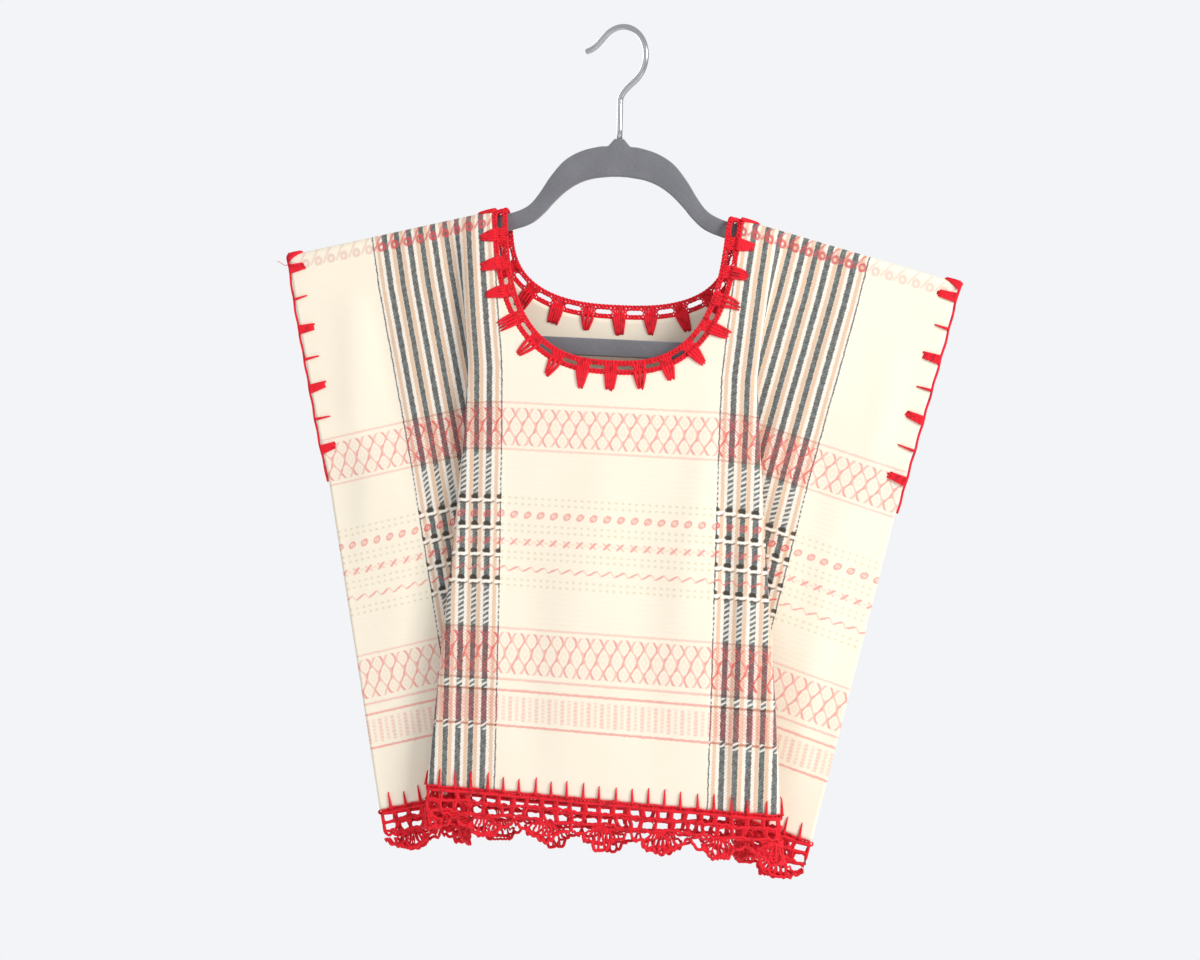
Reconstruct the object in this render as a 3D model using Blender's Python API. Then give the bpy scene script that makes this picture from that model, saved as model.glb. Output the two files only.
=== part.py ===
# Crop top of loom-woven cotton with crocheted trims, hanging on a slim hanger.
# All sizes are millimetres in the garment's own frame (X to the viewer's right, Z up,
# origin at the inner top of the hook) and become metres when a mesh is made.
# Cloth coordinates: u runs across the cloth from its centre line, v runs down it from the
# shoulder fold, w is the distance out of the cloth.
import bpy
import bmesh
import math
import numpy as np

MM = 0.001
TILT = math.radians(3.2)          # the garment hangs lower on the viewer's right
LEAN = math.radians(1.2)          # and a little to the left toward its hem
FRONT, BACK = -1, 1

# Cloth
CLOTH_T = 1.2                     # wall of the woven cloth
CLOTH_HALF = 231.0                # half the width of the cloth
FRONT_DROP = 411.0                # shoulder fold to front hem
BACK_DIP = 12.0                   # the back hem is lower at its centre
SEAM_GAP = 0.3
SHOULDER_Z = -132.0               # fold height where the neckline meets it
SHOULDER_R = 4.0                  # rounding of the cloth over the hanger
ARMHOLE_V = 170.0                 # depth of the armhole
SEAM_P = CLOTH_T / 2 + SEAM_GAP / 2

# Neckline: rounded-square scoops
NECK_HALF = 77.5
NECK_DEPTH = {FRONT: 115.0, BACK: 74.0}
NECK_POWER = 2.6
NECK_STRAIGHT = 20.0              # the neckline runs straight down this far from the fold
NECK_SLOPE_REACH = 18.0           # how far inside the neckline the shoulder slope carries on

# Sections of the hanging cloth. pivot and edge are half widths in X, weft angles are the
# slopes of the weft inside and outside the side fold, fold is where the fold begins,
# arc the cloth in each of its two bends, side the stand-off of the outer part.
SECTION_COLUMNS = ("v", "pivot", "edge", "weft_in", "weft_out", "fold", "arc", "side")
SECTIONS = (
    (0.0,   90.0, 239.0, 14.2, 14.2,  96.0,  8.0, 4.0),
    (40.0,  85.5, 231.2, 12.5, 14.4,  96.0,  8.0, 5.4),
    (112.0, 78.0, 215.4,  5.0, 15.0,  98.0,  8.5, 5.8),
    (164.0, 77.2, 204.0,  3.0, 15.5, 102.0,  9.5, 4.6),
    (230.0, 76.8, 191.2,  2.0, 16.0, 107.0, 11.0, 3.2),
    (300.0, 76.4, 177.6,  1.0, 16.5, 113.0, 12.5, 2.6),
    (411.0, 76.0, 156.6,  0.0, 16.5, 121.0, 16.0, 2.2),
    (460.0, 76.0, 147.0,  0.0, 16.5, 125.0, 16.0, 2.2),
)
EDGE_AT_HEM = {-1: 7.0, 1: -11.0}  # each edge's half width at the hem is off the table by this
FOLD_ANGLE = {-1: math.radians(176.0), 1: math.radians(154.0)}   # knife fold left, softer right
FOLD_FLAT = 20.0                  # cloth between the bends for each unit of strength over one
EDGE_REACH = 45.0                 # the side portion closes to the side seam over this width
EDGE_OPEN_P = 5.5                 # half opening of the armhole
PATH_STEPS = 120

# Grid of a panel
ROWS_V = (0.15, 2.2, 4.3, 6.3, 20.0, 45.0, 75.0, 105.0, 135.0, 170.0, 204.0, 247.0,
          300.0, 356.0, 411.0)
INNER_U = (0.0, 24.0, 40.0, 52.0, 61.0, 68.0, 72.6, 75.6, 77.1)
BEND_STEPS = 3
OUTER_SHARE = (0.28, 0.56, 0.8, 0.92, 1.0)

# Crocheted neck band
BAND_W = 8.8
BAND_T = 1.4
BAND_GAP = 0.6                    # clears the cloth edge between its points
BAND_CELLS = {FRONT: 16, BACK: 12}
BLOCK_SHARE = 0.44                # share of a pitch that is solid
EYELET_EDGE = (2.2, 6.7)          # eyelet from and to, across the band
EYELET_ROUND = 1.1
TAB_LONG = 10.0
TAB_T = 1.0
TAB_TAPER = 0.22
TAB_LIFT = CLOTH_T / 2 + SEAM_GAP

# Hem lace: rows across its depth, bars and gaps along it
LACE_T = 1.2
LACE_ROWS = (0.7, 2.2, 8.8, 10.8, 16.8, 19.0)
LACE_FANS = 11
FAN_CELLS = 4
BAR_SHARE = 0.26
FAN_DEPTH = (21.6, 25.8, 29.8, 32.0, 32.8, 32.0, 29.8, 25.8, 21.6)
FAN_RIM = 2.6

# Armhole edging
EDGING_R = 1.0
EDGING_SIDES = 6
EDGING_V = (0.0, 2.0, 4.2, 6.3, 22.0, 48.0, 76.0, 104.0, 132.0, 154.0, 166.0)

# Hanger: half outline of the flat frame, outer edge and inner edge, top to lower bar
HANGER_T = 5.0
HANGER_BEVEL = 1.0
HANGER_COLUMNS = ("outer_x", "outer_z", "inner_x", "inner_z")
HANGER_HALF = (
    (0.0,    -77.4,   0.0, -104.0),
    (3.3,    -77.4,   6.0, -104.2),
    (7.6,    -82.4,  12.0, -104.9),
    (14.0,   -83.2,  20.0, -106.4),
    (27.0,   -86.8,  29.0, -110.0),
    (39.0,   -94.0,  38.0, -116.2),
    (49.0,  -106.0,  46.5, -124.6),
    (56.0,  -117.0,  53.0, -132.0),
    (64.0,  -126.6,  62.0, -139.4),
    (76.0,  -132.4,  76.0, -144.6),
    (96.0,  -137.4,  96.0, -149.8),
    (130.0, -146.0, 130.0, -158.2),
    (170.0, -156.2, 170.0, -168.2),
    (204.0, -164.8, 196.0, -174.8),
    (216.0, -169.6, 203.0, -179.0),
    (222.0, -178.5, 208.5, -185.5),
    (222.5, -194.0, 210.5, -196.0),
    (220.0, -213.0, 207.0, -210.0),
    (212.0, -225.6, 201.0, -216.6),
    (198.0, -231.0, 192.0, -218.8),
    (120.0, -231.7, 120.0, -219.0),
    (0.0,   -231.7,   0.0, -219.0),
)

# Hook: steel wire, a loop swivelled about the neck
WIRE_R = 2.0
WIRE_SIDES = 8
HOOK_INNER_R = 19.5
HOOK_SWIVEL = math.radians(28.0)
HOOK_FOOT_Z = -77.1
HOOK_STRAIGHT_Z = -50.0
HOOK_FROM, HOOK_TO = math.radians(-52.0), math.radians(131.0)
HOOK_ARC_STEPS = 16
HOOK_JOIN_STEPS = 6
TIP_STRAIGHT = 8.0                # past the arc the wire runs straight, then flicks outward
TIP_R, TIP_TURN, TIP_STEPS = 20.0, math.radians(33.0), 5


def section(v):
    """Row of the section table at v, as named values."""
    at = [row[0] for row in SECTIONS]
    return {name: float(np.interp(v, at, [row[i] for row in SECTIONS]))
            for i, name in enumerate(SECTION_COLUMNS)}


def smooth(x):
    x = np.clip(x, 0.0, 1.0)
    return x * x * (3.0 - 2.0 * x)


def outer_path(row, half, strength):
    """Cloth from the pivot to its edge: u, x, depth lost toward the hanger, height lost."""
    angle = FOLD_ANGLE[half] * min(strength, 1.0)
    flat = FOLD_FLAT * max(strength - 1.0, 0.0)
    arc, start = row["arc"], row["fold"]
    end = start + 2.0 * arc + flat
    u = np.linspace(NECK_HALF, CLOTH_HALF, PATH_STEPS)
    turn = angle * (np.clip((u - start) / arc, 0, 1) - np.clip((u - end + arc) / arc, 0, 1))
    weft = np.radians(row["weft_in"] + (row["weft_out"] - row["weft_in"])
                      * smooth((u - start) / (end - start)))
    steps = (np.cos(turn) * np.cos(weft), np.sin(turn) * np.cos(weft), np.sin(weft))
    du = u[1] - u[0]
    x, p, z = [np.concatenate(([0.0], np.cumsum((s[1:] + s[:-1]) * du / 2))) for s in steps]
    return u, row["pivot"] + x, p, z, end


SOLVED = {}


def solved_path(v, half):
    """The path whose fold is just strong enough for the edge to reach its half width."""
    key = (round(v, 4), half)
    if key not in SOLVED:
        row = section(max(v, 0.0))
        row["edge"] += EDGE_AT_HEM[half] * max(v, 0.0) / FRONT_DROP
        low, high = 0.0, 5.0
        for _ in range(34):
            mid = (low + high) / 2
            if outer_path(row, half, mid)[1][-1] > row["edge"]:
                low = mid
            else:
                high = mid
        SOLVED[key] = (row, (low + high) / 2) + outer_path(row, half, (low + high) / 2)
    return SOLVED[key]


def edge_gap(v):
    """Stand-off of the cloth's side edge: open at the armhole, shut at the side seam."""
    shut = smooth((v - 128.0) / (ARMHOLE_V + 4.0 - 128.0))
    return EDGE_OPEN_P + (SEAM_P - EDGE_OPEN_P) * float(shut)


def middle(u, v, side):
    """A point of the cloth's middle surface in the garment's own frame."""
    half = -1 if u < 0 else 1
    reach = abs(u)
    row, _, us, xs, ps, zs, _ = solved_path(v, half)
    lap = math.pi * SHOULDER_R / 2
    lift = float(smooth((v - lap) / 40.0))
    if v < lap:
        stand, drop = SHOULDER_R * math.sin(v / SHOULDER_R), SHOULDER_R * (1 - math.cos(v / SHOULDER_R))
    else:
        stand = SHOULDER_R + (row["side"] - SHOULDER_R) * lift
        drop = v - lap + SHOULDER_R
    away = solved_path(v, -half)
    other = away[4][-1]
    share = 0.5 + 0.5 * min(reach / NECK_HALF, 1.0)
    depth = (ps[-1] * share + other * (1 - share)) * min(max(v, 0.0) / lap, 1.0)
    if reach <= NECK_HALF:
        inside = NECK_HALF - reach
        rise = NECK_SLOPE_REACH * (1 - math.exp(-inside / NECK_SLOPE_REACH))
        rise *= math.tan(math.radians(14.2)) * (1 - float(smooth(v / 80.0)))
        x, p, z = row["pivot"] * reach / NECK_HALF, stand + depth, -drop + rise
    else:
        lost = float(np.interp(reach, us, ps)) * min(max(v, 0.0) / lap, 1.0)
        x = float(np.interp(reach, us, xs))
        if reach > CLOTH_HALF:
            x += reach - CLOTH_HALF
        p = stand + depth - lost
        z = -drop - float(np.interp(reach, us, zs))
        close = float(smooth((reach - CLOTH_HALF + EDGE_REACH) / EDGE_REACH))
        if v > lap:
            p += (edge_gap(v) - stand) * close * float(smooth((v - lap) / 20.0))
    return np.array((half * x, side * p, SHOULDER_Z + z))


def hang(u, v, w, side):
    """Cloth coordinates to the own frame, w measured out of the cloth."""
    e = 0.4
    across = middle(u + e, v, side) - middle(u - e, v, side)
    if abs(u) < 2 * e:
        across = np.array((1.0, 0.0, 0.0))
    down = middle(u, v + e, side) - middle(u, max(v - e, 0.0), side)
    out = np.cross(across, down) * side
    out /= np.linalg.norm(out)
    return middle(u, v, side) + w * out


def world(point):
    """Own frame to the shared frame: the tilt and lean about the hook, and metres."""
    x, y, z = point
    return (MM * (x + math.sin(LEAN) * z), MM * y, MM * (z - math.sin(TILT) * x))


def material(name, colour, roughness, metallic=0.0):
    mat = bpy.data.materials.new(name)
    mat.use_nodes = True
    shader = mat.node_tree.nodes["Principled BSDF"]
    shader.inputs["Base Color"].default_value = (*colour, 1.0)
    shader.inputs["Roughness"].default_value = roughness
    shader.inputs["Metallic"].default_value = metallic
    mat.diffuse_color = (*colour, 1.0)
    return mat


def solid(name, verts, faces, mat):
    """One closed body from own-frame points and faces."""
    mesh = bpy.data.meshes.new(name)
    mesh.from_pydata([world(p) for p in verts], [], faces)
    mesh.validate()
    work = bmesh.new()
    work.from_mesh(mesh)
    bmesh.ops.recalc_face_normals(work, faces=work.faces)
    bmesh.ops.triangulate(work, faces=work.faces)
    work.to_mesh(mesh)
    work.free()
    mesh.materials.append(mat)
    obj = bpy.data.objects.new(name, mesh)
    bpy.context.scene.collection.objects.link(obj)
    return obj


def sheet(name, grid, kept, side, mat):
    """A sheet of cloth: grid[row][column] = (u, v, w low, w high), kept cells are cloth."""
    rows, cols = len(grid), len(grid[0])

    def is_kept(r, c):
        return 0 <= r < rows - 1 and 0 <= c < cols - 1 and kept(r, c)

    verts, index, faces = [], {}, []

    def vertex(r, c, top):
        if (r, c, top) not in index:
            u, v, low, high = grid[r][c]
            index[(r, c, top)] = len(verts)
            verts.append(hang(u, v, high if top else low, side))
        return index[(r, c, top)]

    for r in range(rows - 1):
        for c in range(cols - 1):
            if not is_kept(r, c):
                continue
            ring = ((r, c), (r, c + 1), (r + 1, c + 1), (r + 1, c))
            faces.append([vertex(*at, 1) for at in ring])
            faces.append([vertex(*at, 0) for at in reversed(ring)])
            around = ((r - 1, c), (r, c + 1), (r + 1, c), (r, c - 1))
            for i, beside in enumerate(around):
                if not is_kept(*beside):
                    a, b = ring[i], ring[(i + 1) % 4]
                    faces.append([vertex(*a, 0), vertex(*b, 0), vertex(*b, 1), vertex(*a, 1)])
    return solid(name, verts, faces, mat)


def sweep(name, path, ring, mat):
    """A tube whose section points are ring(i) at each point of the path."""
    sides = len(ring(0))
    verts = [p for i in range(len(path)) for p in ring(i)]
    faces = [[i * sides + k, i * sides + (k + 1) % sides,
              (i + 1) * sides + (k + 1) % sides, (i + 1) * sides + k]
             for i in range(len(path) - 1) for k in range(sides)]
    faces += [list(range(sides)), list(range((len(path) - 1) * sides, len(path) * sides))]
    return solid(name, verts, faces, mat)


def neck_v(u, side):
    """Depth of the neckline at u."""
    share = min(abs(u) / NECK_HALF, 1.0)
    scoop = (1 - share ** NECK_POWER) ** (1 / NECK_POWER)
    return NECK_STRAIGHT + (NECK_DEPTH[side] - NECK_STRAIGHT) * scoop


def hem_v(u, side):
    """Length of the cloth at u."""
    dip = BACK_DIP * (1 - (u / CLOTH_HALF) ** 2) if side == BACK else 0.0
    return FRONT_DROP + dip


def panel(name, side, mat):
    """Front or back of the woven cloth, from the shoulder fold to the hem."""
    low, high = -CLOTH_T / 2, CLOTH_T / 2
    grid = []
    for v in ROWS_V:
        share = (v - NECK_STRAIGHT) / (FRONT_DROP - NECK_STRAIGHT)
        line = []
        for half in (-1, 1):
            row, _, _, _, _, _, end = solved_path(v, half)
            start, arc = row["fold"], row["arc"]
            second = max(end - arc, start + arc + 1.0)
            reach = list(INNER_U[(0 if half > 0 else 1):]) + [NECK_HALF, (NECK_HALF + start) / 2]
            reach += [begin + arc * i / BEND_STEPS for begin in (start, second)
                      for i in range(BEND_STEPS + 1)]
            reach += [reach[-1] + (CLOTH_HALF - reach[-1]) * s for s in OUTER_SHARE]
            us = [half * u for u in reach]
            line += us if half > 0 else us[::-1]
        cells = []
        for u in line:
            top = neck_v(u, side) if abs(u) < NECK_HALF else NECK_STRAIGHT
            down = top + (hem_v(u, side) - top) * share if share > 0 else v
            cells.append((u, max(down, top) if abs(u) < NECK_HALF else down, low, high))
        grid.append(cells)
    first = ROWS_V.index(NECK_STRAIGHT)
    inner = [c for c, cell in enumerate(grid[0]) if abs(cell[0]) <= NECK_HALF]

    def kept(r, c):
        return r >= first or not inner[0] <= c < inner[-1]
    return sheet(name, grid, kept, side, mat)


def neck_curve(side):
    """The neckline from shoulder to shoulder as points at equal steps of length."""
    turn = np.linspace(0, math.pi, 1601)
    drop = NECK_DEPTH[side] - NECK_STRAIGHT
    us = -NECK_HALF * np.sign(np.cos(turn)) * np.abs(np.cos(turn)) ** (2 / NECK_POWER)
    vs = NECK_STRAIGHT + drop * np.sin(turn) ** (2 / NECK_POWER)
    us = np.concatenate(([-NECK_HALF], us, [NECK_HALF]))
    vs = np.concatenate(([0.0], vs, [0.0]))
    length = np.concatenate(([0.0], np.cumsum(np.hypot(np.diff(us), np.diff(vs)))))
    return us, vs, length


def neck_band(name, side, mat):
    """Crocheted band inside the neckline: an eyelet and a stitched block in each pitch."""
    us, vs, length = neck_curve(side)
    cells = BAND_CELLS[side]
    pitch = length[-1] / cells
    half_block = BLOCK_SHARE / 2

    def at(s, b):
        s = min(max(s, 0.0), length[-1])
        u, v = np.interp(s, length, us), np.interp(s, length, vs)
        e = 1.5
        before, after = max(s - e, 0.0), min(s + e, length[-1])
        tu = np.interp(after, length, us) - np.interp(before, length, us)
        tv = np.interp(after, length, vs) - np.interp(before, length, vs)
        size = math.hypot(tu, tv)
        if s <= 0 or s >= length[-1]:
            tu, tv, size = 0.0, math.copysign(1.0, 0.5 * length[-1] - s), 1.0
        return u + b * tv / size, max(v - b * tu / size, ROWS_V[0])

    crest = [2.1, 4.2]
    columns = [(0.0, "block")] + [(c, "block") for c in crest if c < half_block * pitch - 0.2]
    for k in range(cells):
        columns += [((k + half_block) * pitch, "eye"), ((k + 0.5) * pitch, "eye"),
                    ((k + 1 - half_block) * pitch, "block")]
        if k < cells - 1:
            columns.append(((k + 1) * pitch, "block"))
    columns += [(length[-1] - c, "block") for c in reversed(crest) if c < half_block * pitch - 0.2]
    columns.append((length[-1], "end"))
    across = (-TAB_LONG, BAND_GAP, 1.5, EYELET_EDGE[0], EYELET_EDGE[1], BAND_W)
    grid = []
    for i, b in enumerate(across):
        line = []
        for s, kind in columns:
            where, off = s, b
            phase = s / pitch - round(s / pitch)
            if i == 0:
                where = s - phase * pitch * TAB_TAPER
            if i in (3, 4) and abs(abs(phase) - half_block) < 0.01:
                off = b + (EYELET_ROUND if i == 3 else -EYELET_ROUND)
            low, high = -BAND_T / 2, BAND_T / 2
            if i < 2:
                low, high = TAB_LIFT, TAB_LIFT + TAB_T
            if i == 1 and abs(abs(phase) - 0.5) < 0.01:
                low, high = -BAND_T / 2, BAND_T / 2
            line.append((*at(where, off), low, high))
        grid.append(line)

    def kept(r, c):
        block = columns[c][1] == "block"
        if r < 1:
            return block
        return block or r != 3
    return sheet(name, grid, kept, side, mat)


def hem_lace(name, side, mat):
    """Crocheted lace: chains, two rows of square gaps, then fans with arched gaps."""
    low, high = -LACE_T / 2, LACE_T / 2
    cell = 2 * CLOTH_HALF / (LACE_FANS * FAN_CELLS)
    columns = []
    for k in range(LACE_FANS * FAN_CELLS):
        left = -CLOTH_HALF + k * cell
        bar = cell * BAR_SHARE
        if k == 0:
            columns.append(left)
        columns += [left + (bar if k == 0 else bar / 2), left + cell - (bar / 2 if k < LACE_FANS * FAN_CELLS - 1 else bar)]
    columns.append(CLOTH_HALF)
    grid = []
    for depth in LACE_ROWS:
        grid.append([(u, hem_v(u, side) + depth, low, high) for u in columns])
    per_fan = 2 * FAN_CELLS
    rim, edge = [], []
    for i, u in enumerate(columns):
        phase = (u + CLOTH_HALF) / (cell * FAN_CELLS) % 1.0 * per_fan if 0 < i < len(columns) - 1 else 0.0
        depth = float(np.interp(phase, range(per_fan + 1), FAN_DEPTH))
        rim.append((u, hem_v(u, side) + depth - FAN_RIM + 0.6, low, high))
        edge.append((u, hem_v(u, side) + depth, low, high))
    grid += [rim, edge]

    def kept(r, c):
        bar = c % 2 == 0
        if r in (1, 3):
            return bar
        if r == 5:
            return c % per_fan not in (1, 2, 6, 7)
        return True
    return sheet(name, grid, kept, side, mat)


def edging(name, half, mat):
    """Red thread round one armhole, from the front over the shoulder tip to the back."""
    stations = [(v, FRONT) for v in reversed(EDGING_V)] + [(v, BACK) for v in EDGING_V[1:]]
    out = SEAM_GAP + EDGING_R + 0.1
    path = [middle(half * (CLOTH_HALF + out), v, side) for v, side in stations]

    def ring(i):
        ahead = path[min(i + 1, len(path) - 1)] - path[max(i - 1, 0)]
        ahead /= np.linalg.norm(ahead)
        side_way = np.cross(ahead, (half * 1.0, 0.0, 0.0))
        side_way /= np.linalg.norm(side_way)
        third = np.cross(ahead, side_way)
        return [path[i] + EDGING_R * (math.cos(t) * side_way + math.sin(t) * third)
                for t in np.linspace(0, 2 * math.pi, EDGING_SIDES, endpoint=False)]
    return sweep(name, path, ring, mat)


def hanger_frame(mat):
    """Flat hanger frame with bevelled edges, one ring round its window."""
    right = list(HANGER_HALF)
    left = [(-a, b, -c, d) for a, b, c, d in reversed(right[1:-1])]
    loop = right + left
    verts, faces = [], []
    y, bevel = HANGER_T / 2, HANGER_BEVEL
    for ox, oz, ix, iz in loop:
        outer, inner = np.array((ox, 0, oz)), np.array((ix, 0, iz))
        step = (inner - outer) / np.linalg.norm(inner - outer) * bevel
        for base, depth in ((outer, -y + bevel), (outer + step, -y), (inner - step, -y),
                            (inner, -y + bevel), (inner, y - bevel), (inner - step, y),
                            (outer + step, y), (outer, y - bevel)):
            verts.append(base + np.array((0, depth, 0)))
    n = len(loop)
    for i in range(n):
        j = (i + 1) % n
        faces += [[i * 8 + k, i * 8 + (k + 1) % 8, j * 8 + (k + 1) % 8, j * 8 + k] for k in range(8)]
    return solid("hanger_frame", verts, faces, mat)


def hanger_hook(mat):
    """Steel wire: straight neck, an easy bend, and the swivelled loop over the top."""
    r = HOOK_INNER_R + WIRE_R
    centre_z = -HOOK_INNER_R
    flat = [(0.0, z) for z in np.linspace(HOOK_FOOT_Z, HOOK_STRAIGHT_Z, 3)]
    start = (r * math.cos(HOOK_FROM), centre_z + r * math.sin(HOOK_FROM))
    way = (-math.sin(HOOK_FROM), math.cos(HOOK_FROM))
    pull = 16.0
    for i in range(1, HOOK_JOIN_STEPS):
        t = i / HOOK_JOIN_STEPS
        a, b, c, d = (1 - t) ** 3, 3 * t * (1 - t) ** 2, 3 * t * t * (1 - t), t ** 3
        near = (start[0] - way[0] * pull / 3, start[1] - way[1] * pull / 3)
        flat.append((c * near[0] + d * start[0],
                     a * HOOK_STRAIGHT_Z + b * (HOOK_STRAIGHT_Z + pull / 3) + c * near[1] + d * start[1]))
    flat += [(r * math.cos(t), centre_z + r * math.sin(t))
             for t in np.linspace(HOOK_FROM, HOOK_TO, HOOK_ARC_STEPS)]
    x = flat[-1][0] - TIP_STRAIGHT * math.sin(HOOK_TO)
    z = flat[-1][1] + TIP_STRAIGHT * math.cos(HOOK_TO)
    for i in range(TIP_STEPS + 1):
        t = HOOK_TO - TIP_TURN * i / TIP_STEPS
        flat.append((x + TIP_R * (math.cos(HOOK_TO) - math.cos(t)),
                     z + TIP_R * (math.sin(HOOK_TO) - math.sin(t))))
    plane = np.array((math.cos(HOOK_SWIVEL), -math.sin(HOOK_SWIVEL), 0.0))
    up = np.array((0.0, 0.0, 1.0))
    normal = np.cross(plane, up)
    path = [x * plane + z * up for x, z in flat]

    def ring(i):
        ahead = path[min(i + 1, len(path) - 1)] - path[max(i - 1, 0)]
        ahead /= np.linalg.norm(ahead)
        other = np.cross(normal, ahead)
        return [path[i] + WIRE_R * (math.cos(t) * normal + math.sin(t) * other)
                for t in np.linspace(0, 2 * math.pi, WIRE_SIDES, endpoint=False)]
    return sweep("hanger_hook", path, ring, mat)


for old in list(bpy.data.objects):
    bpy.data.objects.remove(old, do_unlink=True)

panel("front_panel", FRONT, material("cotton_front", (0.86, 0.78, 0.62), 0.9))
panel("back_panel", BACK, material("cotton_back", (0.86, 0.78, 0.62), 0.9))
neck_band("neck_band_front", FRONT, material("crochet_neck_front", (0.62, 0.02, 0.04), 0.8))
neck_band("neck_band_back", BACK, material("crochet_neck_back", (0.62, 0.02, 0.04), 0.8))
hem_lace("hem_lace_front", FRONT, material("crochet_hem_front", (0.62, 0.02, 0.04), 0.8))
hem_lace("hem_lace_back", BACK, material("crochet_hem_back", (0.62, 0.02, 0.04), 0.8))
edging("armhole_edging_left", -1, material("thread_left", (0.62, 0.02, 0.04), 0.8))
edging("armhole_edging_right", 1, material("thread_right", (0.62, 0.02, 0.04), 0.8))
hanger_frame(material("hanger_flock", (0.12, 0.12, 0.13), 0.95))
hanger_hook(material("hook_steel", (0.6, 0.6, 0.62), 0.25, 1.0))
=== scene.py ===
import math

import bpy
import numpy as np
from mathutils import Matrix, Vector


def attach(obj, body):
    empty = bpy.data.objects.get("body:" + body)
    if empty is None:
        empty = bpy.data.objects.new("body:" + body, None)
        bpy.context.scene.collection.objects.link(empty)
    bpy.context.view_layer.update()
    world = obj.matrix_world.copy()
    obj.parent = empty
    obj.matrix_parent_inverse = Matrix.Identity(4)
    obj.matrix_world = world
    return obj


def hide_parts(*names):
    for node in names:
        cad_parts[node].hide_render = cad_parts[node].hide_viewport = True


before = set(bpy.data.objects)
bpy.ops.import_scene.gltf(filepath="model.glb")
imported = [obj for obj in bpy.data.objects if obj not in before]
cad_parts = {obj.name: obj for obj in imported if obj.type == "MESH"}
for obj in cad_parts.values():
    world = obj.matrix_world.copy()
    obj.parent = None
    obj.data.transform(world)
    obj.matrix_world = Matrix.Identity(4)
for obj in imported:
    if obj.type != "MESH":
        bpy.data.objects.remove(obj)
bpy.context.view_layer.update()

# The body cloth: one length of cream cotton from a treadle loom, with striped warp bands and
# pink brocade weft, folded at the shoulders and scooped for the neck. It hangs open at the
# hem, folded in at each side between the flat middle and the sleeves.
MM = 0.001
FRONT, BACK = -1, 1
TILT, LEAN = math.radians(3.2), math.radians(1.2)
CLOTH_T = 1.2
CLOTH_HALF = 231.0
FRONT_DROP, BACK_DIP = 411.0, 12.0
SEAM_P = 0.75
SHOULDER_Z, SHOULDER_R, SHOULDER_SLOPE = -132.0, 4.0, 14.2
LAP = math.pi * SHOULDER_R / 2
STAND_OVER, RISE_OVER = 40.0, 80.0
ARMHOLE_V = 170.0
NECK_HALF, NECK_POWER, NECK_STRAIGHT, NECK_REACH = 77.5, 2.6, 20.0, 18.0
NECK_DEPTH = {FRONT: 115.0, BACK: 74.0}
SECTION_COLUMNS = ("v", "pivot", "edge", "weft_in", "weft_out", "fold", "arc", "side")
SECTIONS = (
    (0.0, 90.0, 239.0, 14.2, 14.2, 96.0, 8.0, 4.0),
    (40.0, 85.5, 231.2, 12.5, 14.4, 96.0, 8.0, 5.4),
    (112.0, 78.0, 215.4, 5.0, 15.0, 98.0, 8.5, 5.8),
    (164.0, 77.2, 204.0, 3.0, 15.5, 102.0, 9.5, 4.6),
    (230.0, 76.8, 191.2, 2.0, 16.0, 107.0, 11.0, 3.2),
    (300.0, 76.4, 177.6, 1.0, 16.5, 113.0, 12.5, 2.6),
    (411.0, 76.0, 156.6, 0.0, 16.5, 121.0, 16.0, 2.2),
    (460.0, 76.0, 147.0, 0.0, 16.5, 125.0, 16.0, 2.2),
)
EDGE_AT_HEM = {-1: 7.0, 1: -11.0}
FOLD_ANGLE = {-1: math.radians(176.0), 1: math.radians(154.0)}
FOLD_FLAT = 20.0
EDGE_REACH, EDGE_OPEN_P, EDGE_START = 45.0, 5.5, 20.0
EDGE_SHUTS_V = (128.0, ARMHOLE_V + 4.0)
# Soft creases: where each is centred, its turn from straight down, how long and wide it
# is, and how far it stands out of the cloth or sinks in.
CREASE_COLUMNS = ("side", "u", "v", "turn", "length", "width", "height")
CREASES = (
    (FRONT, -196, 95, -6, 120, 13, 1.8),
    (FRONT, -172, 120, 4, 150, 10, -1.4),
    (FRONT, -214, 210, -14, 110, 12, 1.3),
    (FRONT, -186, 300, -8, 160, 11, -1.5),
    (FRONT, -84, 250, 3, 190, 8, 1.3),
    (FRONT, -52, 320, 5, 170, 16, -1.6),
    (FRONT, -12, 230, -4, 150, 20, 1.4),
    (FRONT, 30, 300, 6, 180, 17, -1.5),
    (FRONT, 62, 210, -3, 170, 12, 1.6),
    (FRONT, 84, 290, 2, 220, 6, -1.9),
    (FRONT, 96, 330, 1, 170, 5, 1.5),
    (FRONT, 150, 110, -9, 140, 12, 1.7),
    (FRONT, 178, 190, 12, 150, 14, -1.6),
    (FRONT, 206, 110, 9, 100, 12, 1.5),
    (FRONT, 204, 300, 10, 170, 12, 1.4),
    (BACK, -200, 100, -7, 130, 13, 1.7),
    (BACK, -165, 160, 5, 150, 12, -1.5),
    (BACK, -60, 230, 4, 200, 15, 1.6),
    (BACK, -20, 300, -5, 190, 18, -1.8),
    (BACK, 24, 200, 3, 160, 18, 1.5),
    (BACK, 70, 280, -3, 190, 10, -1.6),
    (BACK, 160, 140, 8, 140, 12, 1.6),
    (BACK, 205, 230, 11, 150, 13, -1.4),
)


def ease(x):
    x = np.clip(x, 0.0, 1.0)
    return x * x * (3.0 - 2.0 * x)


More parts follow.
